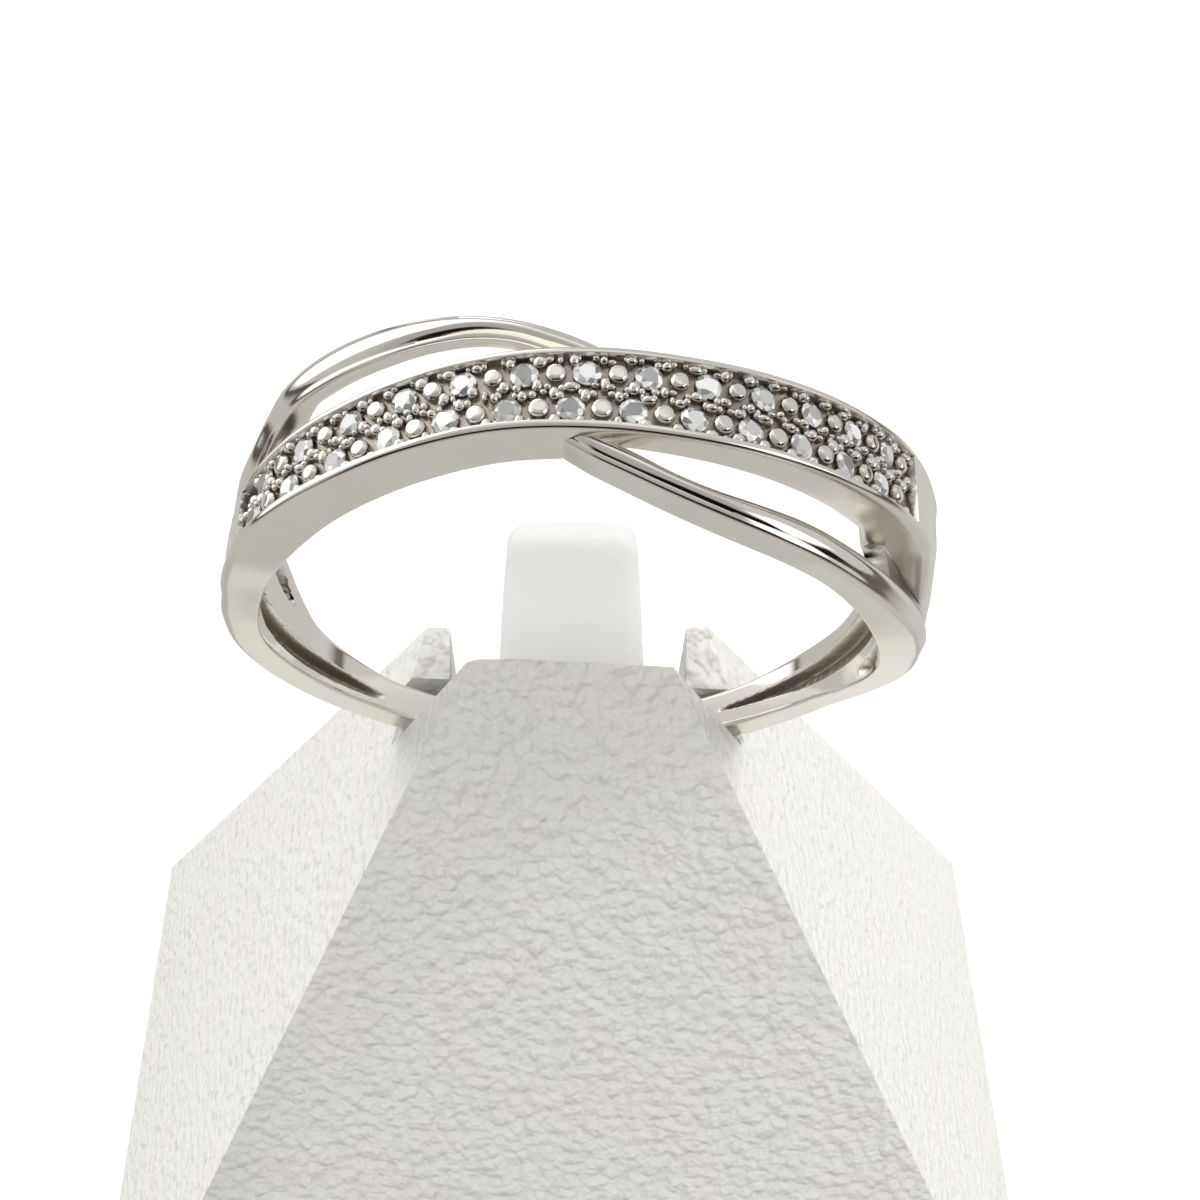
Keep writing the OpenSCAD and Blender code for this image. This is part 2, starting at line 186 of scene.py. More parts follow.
def piece(name, points, faces, sharp=38):
    """A mesh object at the origin. Doubles are merged and faces point outwards. Edges
    steeper than sharp degrees stay crisp."""
    mesh = bpy.data.meshes.new(name)
    mesh.from_pydata(points.tolist(), [], faces)
    work = bmesh.new()
    work.from_mesh(mesh)
    bmesh.ops.remove_doubles(work, verts=work.verts, dist=2e-7)
    bmesh.ops.recalc_face_normals(work, faces=work.faces)
    work.to_mesh(mesh)
    work.free()
    mesh.shade_smooth()
    mesh.set_sharp_from_angle(angle=math.radians(sharp))
    obj = bpy.data.objects.new(name, mesh)
    bpy.context.collection.objects.link(obj)
    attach(obj, "root")
    print(f"{name}: {len(mesh.vertices)} points, {len(mesh.polygons)} faces")
    return obj


# %% [markdown]
# ## Edges that keep their columns
# Polished metal shows every seam, so bands, wings and shank must share their points
# where they meet. Each edge is therefore always the same eight columns, half of them on
# the wall and half on its rounding, and each column has a partner on the underside.

# %% Edge columns
# columns on an edge, over a band and in the valley between two bands
EDGE, SPAN, VALLEY = 8, 18, 12
# rounding of the upper and lower corners, and the height where a wall's foot begins
ROUND, FOOT_ROUND, WALL_FOOT = 0.13, 0.08, 0.23
# share of the taper that the outer wall shows, and the width it fades over below
LEAN_IN, LEAN_WIDTH = 0.85, 0.8
bend = np.minimum(np.linspace(2, 0, EDGE), 1) * math.pi / 2
fall = np.clip(np.linspace(1, -1, EDGE), 0, 1)


def soft(x, size=0.05):
    """x above size, 0 below -size, and a parabola that joins both between."""
    return np.where(x > size, x, np.where(x < -size, 0, (x + size) ** 2 / (4 * size)))


def edge_outside(edge, top, level, flare=0.0, inward=1):
    """From the wall's lower level up to the top: straight up, then a quarter circle
    inwards. A rear edge (inward -1) gets the same columns in reverse order."""
    y = edge + inward * (ROUND * (1 - np.sin(bend)) + LEAN_IN * flare * fall)
    h = level + (top - ROUND * (1 - np.cos(bend)) - level) * (1 - fall)
    return (y, h) if inward > 0 else (y[:, ::-1], h[:, ::-1])


def foot_curl(rounding, inward=1):
    """Rise of the underside's edge columns in their quarter circle."""
    h = rounding * (1 - np.cos(bend))
    return h if inward > 0 else h[:, ::-1]


def tapered(y, front, rear, flare_front, flare_rear):
    """Underside columns lie under the outer ones, drawn inwards near a tapered edge."""
    return (y + flare_front * (1 - ramp((y - front) / LEAN_WIDTH))
            - flare_rear * (1 - ramp((rear - y) / LEAN_WIDTH)))


def sandwich(a, outside, inside, turned=1):
    """Closed loops from outer columns (y, h) and their partners on the underside."""
    y = np.concatenate([outside[0], inside[0][:, ::-1]], 1)
    h = np.concatenate([outside[1], inside[1][:, ::-1]], 1)
    a = np.broadcast_to(a, outside[0].shape)
    a = np.concatenate([a, a[:, ::-1]], 1)
    return shell(place(turned * a, turned * y, h), caps=False)


def side_by_side(*parts):
    return tuple(np.concatenate([p[i] for p in parts], 1) for i in (0, 1))


print("columns round a band:", 2 * (2 * EDGE + SPAN))


# %% [markdown]
# ## What the halves have in common
# The left half of the ring is the right half turned half round, with slightly other
# marks. Seen that way, the wing is always in front of the paved band.

# %% Marks of one half
# rise of a wing's crown and its fall towards the gap
DOME, GAP_DROP = 0.16, 0.06
# width of the rims, depth of the channel and the angle where it ends
RIM, DEPTH, PAVED_END = 0.2, 0.3, 59.5
# height of the hollow under the bands, at the top and further down
HOLLOW_TOP, HOLLOW_LOW = 0.62, 0.35
# the low skin lies this far under the shank's marks, and bulges by this much
WEB_DROP, WEB_BULGE = 0.07, 0.4
# the bands become shank at MEET; walls sink from CLOSING and corners fade from FADING
MEET = GAP_END - GAP_ROUND
CLOSING, FADING = 55, 58


def closing(a, start=CLOSING):
    """0 along a gap and 1 where it ends, from the angle where the gap starts to close."""
    return ramp((a - start) / (MEET - start))


def undercut(a):
    """Height of a band's foot beside a gap, where its underside is hollowed."""
    share = ramp((a + 6) / 12) * ramp((MEET - a) / 8)
    return share * mix(HOLLOW_TOP, HOLLOW_LOW, np.clip(a / 50, 0, 1))


def shank_marks(side, a):
    """Front edge, rear edge, height at the front and height at the rear of the shank."""
    if side == "right":
        return [curve(SHANK, c, a) for c in (1, 2, 3, 4)]
    return [-curve(SHANK, 2, 360 - a), -curve(SHANK, 1, 360 - a),
            curve(SHANK, 4, 360 - a), curve(SHANK, 3, 360 - a)]


def web(side, a, y):
    """Height of the low skin between the bands, and of the whole shank further down:
    a straight line from front to rear and a parabola over it."""
    front, rear, low, high = shank_marks(side, a)
    share = np.clip((y - front) / (rear - front), 0, 1)
    return mix(low, high, share) - WEB_DROP + WEB_BULGE * share * (1 - share)


def paved_marks(side, a):
    """Front edge, rear edge and top of the paved band."""
    if side == "right":
        return [curve(PAVED, c, a) for c in (1, 2, 3)]
    return [-curve(PAVED, 2, -a), -curve(PAVED, 1, -a), curve(PAVED, 3, -a)]


def crown(table, a):
    """Top of a wing: a parabola between its two rounded edges."""
    outer, gap, top = -curve(table, 1, a), -curve(table, 2, a), curve(table, 3, a)
    s = np.linspace(0, 1, SPAN + 2)[1:-1]
    return mix(outer + ROUND, gap - ROUND, s), top - GAP_DROP * s + 4 * DOME * s * (1 - s)


def paved_top(front, rear, top_front, top_rear, deep):
    """Top of the paved band: rim, wall, channel floor, wall, rim. deep is the depth of
    the channel, 0 past its ends. half holds the places across rim and wall, and down the
    share of the depth there."""
    half = np.array([ROUND + 0.03, RIM - 0.03, RIM - 0.01, RIM, RIM + 0.01, RIM + 0.03])
    down = np.array([0, 0, 0.03, 0.1, 0.6, 1.0])
    flat = SPAN - 2 * len(half)
    floor = np.linspace(0, 1, flat + 2)[1:-1]
    y = np.concatenate([front + half, mix(front + half[-1], rear - half[-1], floor),
                        rear - half[::-1]], 1)
    sunk = np.concatenate([down, np.ones(flat), down[::-1]])
    return y, mix(top_front, top_rear, (y - front) / (rear - front)) - deep * sunk


# %% [markdown]
# ## The paved band
# A flat-topped band with a sunk channel between two bright rims. It could be a
# boolean of two sweeps, but one profile that dips into the channel gives cleaner
# reflections, because the corners keep their own small roundings. Rows lie close
# together where the channel ends.

# %% Paved band
def wall_level(side, a, y, foot):
    """Lower level of a wall beside a gap, which ends at the web where the gap ends."""
    return mix(foot + WALL_FOOT, web(side, a, y), closing(a))


def beside_gap(side, a, edge, top, foot, inward):
    """Edge columns beside a gap, with a soft foot where the web begins."""
    y, _ = edge_outside(edge, top, top, inward=inward)
    level = wall_level(side, a, y, foot)
    share = (1 - fall) if inward > 0 else (1 - fall)[::-1]
    curl = ROUND * (1 - np.cos(bend if inward > 0 else bend[::-1]))
    rise = (top - curl - level) * share
    return y, level + mix(rise, soft(rise), closing(a))


PAVED_ROWS, WING_ROWS = 165, 110


def paved_band():
    """Profile carried from one shoulder to the other, closed by the underside."""
    lip = np.array([PAVED_END - 0.5, PAVED_END - 0.12, PAVED_END, PAVED_END + 0.1])
    level_rows = np.linspace(-MEET, MEET, PAVED_ROWS)
    a = np.unique(np.concatenate([-lip, level_rows, lip]))[:, None]
    front, rear, top = (curve(PAVED, c, a) for c in (1, 2, 3))
    flare = curve(TAPER, 1, abs(a))
    foot_f, foot_r = undercut(a), undercut(-a)
    fade = 1 - closing(abs(a), FADING)
    deep = DEPTH * (abs(a) < PAVED_END - 0.05)
    side_f = edge_outside(front, top, foot_f + WALL_FOOT, flare * (a < 0))
    side_r = edge_outside(rear, top, foot_r + WALL_FOOT, flare * (a > 0), -1)
    gap_f = beside_gap("right", a, front, top, foot_f, 1)
    turned = beside_gap("left", -a, -rear, top, foot_r, 1)
    gap_r = (-turned[0][:, ::-1], turned[1][:, ::-1])
    outside = side_by_side([np.where(a > 0, g, s) for g, s in zip(gap_f, side_f)],
                           paved_top(front, rear, top, top, deep),
                           [np.where(a < 0, g, s) for g, s in zip(gap_r, side_r)])
    plain_f = edge_outside(front, top, top)[0]
    plain_r = edge_outside(rear, top, top, inward=-1)[0]
    y = np.concatenate([plain_f, outside[0][:, EDGE:-EDGE], plain_r], 1)
    y_in = tapered(y, front, rear, flare * (a < 0), flare * (a > 0))
    h_in = mix(foot_f, foot_r, np.clip((y - front) / (rear - front), 0, 1))
    h_in[:, :EDGE] += foot_curl(FOOT_ROUND * np.where(a > 0, fade, 1))
    h_in[:, -EDGE:] += foot_curl(FOOT_ROUND * np.where(a < 0, fade, 1), -1)
    return sandwich(a, outside, (y_in, h_in))


# %% [markdown]
# ## The wings
# Each wing comes out from under the paved band, swings to the side round its gap and
# comes back into the shank. Its top is a low dome with a crisp outer corner, which
# gives the dark and bright lines that polished metal shows.

# %% Wings
# height of the hollow under a wing, and a place past every edge, where nothing tapers
WING_HOLLOW, FAR = 0.4, 9


def wing(side):
    """Profile carried along the wing: outer wall, crown, gap wall and underside."""
    table = WING_LEFT if side == "left" else WING_RIGHT
    a = np.linspace(table[0, 0], MEET, WING_ROWS)[:, None]
    outer, gap, top = -curve(table, 1, a), -curve(table, 2, a), curve(table, 3, a)
    foot = WING_HOLLOW * ramp(a / 10) * (1 - closing(a, 50))
    flare = curve(TAPER, 1, abs(a))
    outside = side_by_side(edge_outside(outer, top, WALL_FOOT, flare), crown(table, a),
                           beside_gap(side, a, gap, top - GAP_DROP, foot, -1))
    y = outside[0].copy()
    y[:, :EDGE] = edge_outside(outer, top, top)[0]
    h_in = foot * np.clip((y - outer) / (gap - outer), 0, 1)
    h_in[:, :EDGE] += foot_curl(FOOT_ROUND + 0 * a)
    h_in[:, -EDGE:] += foot_curl(FOOT_ROUND * (1 - closing(a, FADING)), -1)
    y_in = tapered(y, outer, FAR, flare, 0)
    points, faces = sandwich(a, outside, (y_in, h_in), half_turn(side))
    under_paved_band = list(range(2 * y.shape[1]))
    return points, faces + [under_paved_band]


# %% [markdown]
# ## Shoulder and shank
# Past the gaps the two bands and the valley between them melt into one shank. The
# columns start on the features: wing, valley, paved band. Further down they slide
# apart evenly while the walls shrink to nothing, so the reflections run through
# without a seam. Long grooves are hollowed into the inside.

# %% Grooves inside the shank
# depth, share of the width that each wall takes, and length of an end in degrees
GROOVE, SLANT, END_RISE = 0.45, 0.25, 1.6
# angle, front edge, rear edge, share of the full depth
GROOVES = [np.array(t) for t in (
    [[86, -1.02, 0.50, 0.6], [100, -0.70, 0.46, 1], [115, -0.46, 0.38, 1],
     [130, -0.16, 0.25, 0.9], [143, -0.04, 0.10, 0.5]],
    [[-141, -0.38, -0.14, 0.5], [-130, -0.50, 0.00, 0.9], [-115, -0.72, -0.06, 1],
     [-100, -0.95, -0.16, 1], [-86, -1.20, -0.50, 0.6]],
    [[83, -2.02, -1.45, 0.7], [91, -1.72, -1.24, 0.7], [99, -1.42, -1.14, 0.5]],
    [[-110, 0.70, 0.86, 0.5], [-104, 0.74, 1.32, 0.7], [-96, 0.90, 1.62, 0.7]])]


def groove_depth(a, y):
    """Depth of the grooves at this place of the bore: full between two slanting walls,
    and nothing outside them."""
    depth = np.zeros(np.broadcast(a, y).shape)
    for table in GROOVES:
        front, rear = curve(table, 1, a), curve(table, 2, a)
        slant = np.maximum(SLANT * (rear - front), 0.05)
        walls = ramp((y - front) / slant) * ramp((rear - y) / slant)
        ends = (ramp((a - table[0, 0]) / END_RISE)
                * ramp((table[-1, 0] - a) / END_RISE))
        depth = np.maximum(depth, GROOVE * curve(table, 3, a) * walls * ends)
    return depth


print(len(GROOVES), "grooves, up to", GROOVE, "mm deep")


# %% How the bands run into the shank
BAND = 2 * EDGE + SPAN
# angles where the edges of paved band and wing, the walls and the columns start to
# melt into the shank, and the degrees that it takes
PAVED_MELTS, WING_MELTS, WALLS_MELT, COLUMNS_MELT, MELTING = 66, 70, 74, 76, 12
# a step at the paved band's gap side: its height, its start and its length
STEP_DOWN, STEP_FROM, STEP_OVER = 0.6, 62, 18
# rows close together at the shoulder, wider below
SHOULDER_END, SHANK_END, ROWS = 100, 150, (64, 70, 14)


def melting(a, start):
    return ramp((a - start) / MELTING)


def bay_rows():
    """Angles of the grid from the gap's round end to the bottom. The rows are level but
    for the valley's columns, which bulge downwards in a half circle at the gap. Also the
    share of the valley's width at each of its columns."""
    level = np.concatenate([np.linspace(MEET, SHOULDER_END, ROWS[0]),
                            np.linspace(SHOULDER_END, SHANK_END, ROWS[1])[1:],
                            np.linspace(SHANK_END, 180, ROWS[2])[1:]])[:, None]
    t = -np.cos(np.linspace(0, math.pi, VALLEY + 2))[1:-1]
    bay = np.concatenate([np.zeros(BAND), np.sqrt(1 - t * t), np.zeros(BAND)])
    return level + GAP_ROUND * bay * (1 - melting(level, MEET)), (t + 1) / 2


def shoulder_marks(side, a):
    """Front edge, edge at the gap and top of the wing, then front edge, rear edge and
    top of the paved band. The outer edges run into the shank's."""
    table = WING_LEFT if side == "left" else WING_RIGHT
    outer, gap, top = -curve(table, 1, a), -curve(table, 2, a), curve(table, 3, a)
    p_front, p_rear, p_top = paved_marks(side, a)
    s_front, s_rear = shank_marks(side, a)[:2]
    front = mix(outer, s_front, melting(a, WING_MELTS))
    rear = mix(p_rear, s_rear, melting(a, PAVED_MELTS))
    return front, gap, top, p_front, rear, p_top


def outer_walls(side, a, edges, tops, fade):
    """Edge columns of the shank's front and rear, whose tops sink to the web."""
    walls = []
    for edge, top, inward in zip(edges, tops, (1, -1)):
        skin = web(side, a, edge)
        walls.append(edge_outside(edge, skin + soft((top - skin) * fade), WALL_FOOT,
                                  curve(TAPER, 1, a), inward))
    return walls


# %% Shoulder and shank
def shank_half(side):
    """Outer and inner sheet over the same grid. Each column has a rise over the web,
    which fades as the columns slide apart."""
    a, over_valley = bay_rows()
    valley, between, first = slice(BAND, -BAND), slice(EDGE, -EDGE), slice(0, 1)
    fade = 1 - melting(a, WALLS_MELT)
    front, gap, top, p_front, rear, p_top = shoulder_marks(side, a)
    step_down = STEP_DOWN * ramp((a - STEP_FROM) / STEP_OVER)

    start = a[:, first]
    f, r, wing_edge, paved_edge, wing_top, paved_high, paved_low = (
        v[:, first] for v in (front, rear, gap, p_front, top, p_top, p_top - step_down))
    table = WING_LEFT if side == "left" else WING_RIGHT
    crown_h = crown(table, start)[1]
    crown_y = mix(f + ROUND, wing_edge - ROUND, np.linspace(0, 1, SPAN + 2)[1:-1])
    wing_gap = beside_gap(side, start, wing_edge, wing_top - GAP_DROP, 0, -1)
    paved_gap = beside_gap(side, start, paved_edge, paved_low, 0, 1)
    valley_y = mix(gap[:, valley], p_front[:, valley], over_valley)
    paved = paved_top(paved_edge, r, paved_low, paved_high, 0)
    walls = outer_walls(side, start, (f, r), (wing_top, paved_high), fade[:, first])

    y = np.concatenate([edge_outside(f, start, start)[0], crown_y, wing_gap[0], valley_y,
                        paved_gap[0], paved[0],
                        edge_outside(r, start, start, inward=-1)[0]], 1)
    h = np.concatenate([walls[0][1], crown_h, wing_gap[1], 0 * valley_y, paved_gap[1],
                        paved[1], walls[1][1]], 1)
    rise = soft((h - web(side, a, y)) * fade)
    rise[:, valley] = 0
    columns = np.linspace(0, 1, y.shape[1] - 2 * EDGE + 2)[1:-1]
    even = mix(front[:, between] + ROUND, rear[:, between] - ROUND, columns)
    y[:, between] = mix(y[:, between], even, melting(a[:, between], COLUMNS_MELT))
    high = web(side, a, y) + rise
    high[:, :EDGE], high[:, -EDGE:] = walls[0][1], walls[1][1]
    y_out = y.copy()
    y_out[:, :EDGE], y_out[:, -EDGE:] = walls[0][0], walls[1][0]

    taper = curve(TAPER, 1, a)
    y_in = tapered(y, front, rear, taper, taper)
    turned = half_turn(side)
    low = groove_depth(turned * a, turned * y_in)
    low[:, :EDGE] = foot_curl(FOOT_ROUND + 0 * start)
    low[:, -EDGE:] = foot_curl(FOOT_ROUND + 0 * start, -1)
    points, faces = sandwich(a, (y_out, high), (y_in, low), turned)
    loop = 2 * y.shape[1]
    bay_wall = [[j + 1, j, loop - 1 - j, loop - 2 - j]
                for j in range(BAND - 1, BAND + VALLEY)]
    return points, faces + bay_wall


# %% [markdown]
# ## Discs and grain beads
# On the real ring only every second place holds a stone. Between them sit bright metal
# discs, and beads and smaller grains pushed up from the metal grip everything. Each
# kind is one profile turned round its axis, set down at all its places in one array
# operation. Beads and grains are a little uneven, as a setter's hand leaves them.

# %% Places along the two rows
CELLS = 26
STEP = 2 * (PAVED_END - 2) / CELLS
# shares of the band's width: from its middle to a row, and from there to the beads
ROW_HALF, BEAD_SHIFT = 0.215, 0.155
SUNK = 0.12


def cell_angle(k, row):
    return (k - (CELLS - 1) / 2) * STEP + row * STEP / 4


def setting_places(k, row, side=0.0, sunk=SUNK):
    """Angle, place along the finger and height over the bore for cells of a row."""
    a = cell_angle(k, row)
    front, rear = curve(PAVED, 1, a), curve(PAVED, 2, a)
    y = (front + rear) / 2 + (row * ROW_HALF + side * BEAD_SHIFT) * (rear - front)
    return a, y, curve(PAVED, 3, a) - sunk


def set_down(local, a, y, h):
    """Puts copies of a small form (points, 3) at every place: its z axis points away
    from the ring's axis. The result is (places, points, 3), in metres."""
    a, y, h = (np.asarray(v, float)[:, None] for v in (a, y, h))
    out = BORE + h + local[..., 2]
    sin, cos = np.sin(np.radians(a)), np.cos(np.radians(a))
    p = np.stack([out * sin + local[..., 0] * cos, y + local[..., 1],
                  out * cos - local[..., 0] * sin], -1)
    return (p @ SET_UP.T + RING_AT) * MM


def turned_form(profile, sides):
    """Profile of (radius, height) turned round its axis, as a grid, a ring a row."""
    profile = np.asarray(profile, float)
    q = np.linspace(0, 2 * math.pi, sides, endpoint=False)
    r, z = profile[:, :1], profile[:, 1:]
    return np.stack(np.broadcast_arrays(r * np.cos(q), r * np.sin(q), z), -1)


def repeat(local_grid, a, y, h, size=None):
    """Closed shells of one turned form at many places."""
    rows, cols = local_grid.shape[:2]
    local = local_grid.reshape(1, -1, 3)
    if size is not None:
        local = local * size[:, None, :]
    at = set_down(local, a, y, h)
    return [shell(p.reshape(rows, cols, 3)) for p in at]


print("a stone or disc every", round(STEP, 2), "degrees")

# %% Discs and beads
rng = np.random.default_rng(7)
k = np.arange(CELLS)
rows = [(k, -1), (k, 1)]

# radius and height of each ring of points, from the buried foot to the middle
disc = turned_form([[0.255, -0.3], [0.255, -0.075], [0.25, -0.05], [0.238, -0.03],
                    [0.185, 0.03], [0.17, 0.038], [0.09, 0.041], [0.02, 0.042]], 16)
BEAD, BEAD_AT = 0.158, -0.1
q = np.linspace(0, math.pi / 2, 5)
bead = turned_form([[0.18, -0.26]]
                   + [[BEAD * math.cos(t), BEAD_AT + BEAD * math.sin(t)] for t in q[:-1]]
                   + [[0.012, 0.058]], 10)

discs = np.concatenate([np.stack(setting_places(k[k % 2 == 1], row), 1)
                        for k, row in rows])
edges = np.arange(CELLS + 1) - 0.5
GRAIN_STEP, GRAIN_SIDE, GRAIN_SIZE = 0.24, 1.12, 0.6
beads = np.concatenate([np.stack(setting_places(edges, row, side), 1)
                        for row in (-1, 1) for side in (-1, 1)])
grains = np.concatenate([np.stack(setting_places(at, row, side, SUNK + 0.03), 1)
                         for at in (edges - GRAIN_STEP, edges + GRAIN_STEP)
                         for row in (-1, 1) for side in (-GRAIN_SIDE, GRAIN_SIDE)])
grains = grains[abs(grains[:, 0]) < PAVED_END - 0.8]
shrink = np.repeat([1, GRAIN_SIZE], [len(beads), len(grains)])[:, None]
beads = np.concatenate([beads, grains])
beads[:, :2] += rng.normal(0, 1, (len(beads), 2)) * (0.3, 0.03)
bead_size = shrink * rng.uniform(0.72, 1.28, (len(beads), 3))
disc_size = 1 + rng.normal(0, 0.03, (len(discs), 1)) * np.array([[1, 1, 0.3]])
print(len(discs), "discs,", len(beads), "beads")

# %% [markdown]
# ## The ring as one piece
# Bands, shoulders, discs and beads are cast and soldered in one on the real ring, so
# they are one piece here as well, and it takes the place of the plain solid.

# %% Ring
ring = piece("ring", *gather(
    [paved_band(), wing("left"), wing("right"), shank_half("left"), shank_half("right")]
    + repeat(disc, *discs.T, disc_size) + repeat(bead, *beads.T, bead_size)))
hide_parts("ring_band")


# %% [markdown]
# ## Cut stones
# A stone has a flat table with eight sides, then eight stars, eight kites and sixteen
# girdle facets above, and sixteen short and eight long ones below. Points on five rings
# and a tip give all corners. A number on each facet says how bright it flashes.

# %% Stones
# radius of each ring of corners
TABLE, KITE, GIRDLE, LOWER = 0.2, 0.285, 0.34, 0.16


def cut_stone():
    """Corners on rings: table, kite corners, girdle above and below, lower kites and
    the point. Each ring is a circle cut in 8 or 16."""
    def ring_of(count, radius, height, shift=0.0):
        q = (np.arange(count) + shift) * 2 * math.pi / count
        return np.stack([radius * np.cos(q), radius * np.sin(q),
                         np.full(count, height)], 1)
    points = np.concatenate([ring_of(8, TABLE, 0.09), ring_of(8, KITE, 0.05, 0.5),
                             ring_of(16, GIRDLE, 0.0), ring_of(16, GIRDLE, -0.03),
                             ring_of(8, LOWER, -0.17, 0.5), [[0, 0, -0.3]]])
    table, kite, girdle, below, lower, tip = 0, 8, 16, 32, 48, 56
    faces = [list(range(8))]
    for i in range(8):
        j, g = (i + 1) % 8, 2 * i
        faces += [[table + j, table + i, kite + i],
                  [table + j, kite + i, girdle + (g + 2) % 16, kite + j],
                  [kite + i, girdle + g, girdle + g + 1],
                  [kite + i, girdle + g + 1, girdle + (g + 2) % 16],
                  [lower + i, below + g + 1, below + g],
                  [lower + i, below + (g + 2) % 16, below + g + 1],
                  [tip, lower + j, below + (g + 2) % 16, lower + i]]
    faces += [[girdle + i, below + i, below + (i + 1) % 16, girdle + (i + 1) % 16]
              for i in range(16)]
    return points, faces


stone_points, stone_faces = cut_stone()
stones = np.concatenate([np.stack(setting_places(k[k % 2 == 0], row, sunk=SUNK + 0.09), 1)
                         for k, row in rows])
spin = rng.uniform(0, math.pi / 4, len(stones))
turn_each = np.stack([np.stack([np.cos(spin), -np.sin(spin)], 1),
                      np.stack([np.sin(spin), np.cos(spin)], 1)], 1)
each = np.repeat(stone_points[None], len(stones), 0)
each[..., :2] = np.einsum("sij,spj->spi", turn_each, each[..., :2])
at = set_down(each, *stones.T)
diamonds = piece("cut_stones", *gather([(p, stone_faces) for p in at]), sharp=1)
flash = diamonds.data.attributes.new("flash", "FLOAT", "FACE")
flash.data.foreach_set("value", rng.uniform(0, 1, len(diamonds.data.polygons)))
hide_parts("diamonds")

# %% [markdown]
# ## The stand
# The stand is board under leatherette, so its edges are a little soft. Its solid has
# the right planes already: a copy is merged into whole faces, and a narrow bevel
# rounds the edges.

# %% Pyramid
def soft_copy(node, name, width, segments):
    """A copy of a CAD solid with whole faces and rounded edges, put in its place."""
    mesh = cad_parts[node].data.copy()
    mesh.name = name
    work = bmesh.new()
    work.from_mesh(mesh)
    bmesh.ops.remove_doubles(work, verts=work.verts, dist=1e-6)
    bmesh.ops.dissolve_limit(work, angle_limit=math.radians(0.6), verts=work.verts,
                             edges=work.edges)
    work.to_mesh(mesh)
    work.free()
    obj = bpy.data.objects.new(name, mesh)
    bpy.context.collection.objects.link(obj)
    bevel = obj.modifiers.new("soft edges", "BEVEL")
    bevel.width, bevel.segments = width * MM, segments
    bevel.limit_method, bevel.angle_limit = "ANGLE", math.radians(20)
    bevel.harden_normals = True
    mesh.shade_smooth()
    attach(obj, "root")
    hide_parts(node)
    return obj


stand = soft_copy("display_stand", "pyramid", 0.14, 3)
print("stand faces:", len(stand.data.polygons))

# %% [markdown]
# ## The tongue
# A flat strip of satin plastic behind the ring. Its outline is carried through the
# thickness, a little smaller at both faces, so that all its edges are rounded.

# %% Tongue
# half the width at the top, how much wider at the foot, corner radius, edge radius
TONGUE_HALF, SPREAD, CORNER, EDGE_SOFT = 1.875, 13.45 * 0.06, 0.75, 0.15
# heights of foot, shoulder and top, then thickness, middle and front face
TONGUE_FOOT, SHOULDER, TONGUE_TOP = 19.5, 30.95, 32.95
THICK, TONGUE_X, TONGUE_Y = 0.8, 0.1, 1.45


def tongue_outline(inset):
    """Upright outline: slanting sides and a quarter circle at each top corner."""
    half, foot = TONGUE_HALF - inset, TONGUE_HALF + SPREAD - inset
    radius = CORNER - inset
    q = np.linspace(0, math.pi / 2, 9)
    x = np.concatenate([[foot, half + 0.117], half - radius + radius * np.cos(q)])
    z = np.concatenate([[TONGUE_FOOT + inset, SHOULDER],
                        TONGUE_TOP - inset - radius + radius * np.sin(q)])
    return np.concatenate([x, -x[::-1]]), np.concatenate([z, z[::-1]])


q = np.linspace(0, math.pi / 2, 5)
layers = [(EDGE_SOFT * (1 - math.sin(t)), EDGE_SOFT * (1 - math.cos(t))) for t in q]
layers += [(inset, THICK - d) for inset, d in layers[::-1]]
grid = []
for inset, d in layers:
    x, z = tongue_outline(inset)
    grid.append(np.stack([x + TONGUE_X, np.full(len(x), TONGUE_Y + d), z], -1) * MM)
tongue = piece("tongue", *shell(np.array(grid)))
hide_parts("stand_tongue")


# %% [markdown]
# ## Shader sums as Python sums
# A finish is a small net of nodes. Wrapping a socket in a class with + - * lets the
# maths be written as an expression, and one method makes every other node.

# %% Finish and Wire
class Wire:
    """A number on its way through a finish. Sums on wires add their Math nodes."""

    def __init__(self, finish, socket):
        self.finish, self.socket = finish, socket

    def sum(self, operation, a, b=0.0):
        return self.finish.node("ShaderNodeMath", {"operation": operation}, {0: a, 1: b})

    def __add__(self, other):
        return self.sum("ADD", self, other)

    def __sub__(self, other):
        return self.sum("SUBTRACT", self, other)

    def __rsub__(self, other):
        return self.sum("SUBTRACT", other, self)

    def __mul__(self, other):
        return self.sum("MULTIPLY", self, other)

    def __truediv__(self, other):
        return self.sum("DIVIDE", self, other)

    def __abs__(self):
        return self.sum("ABSOLUTE", self)

    __radd__, __rmul__ = __add__, __mul__


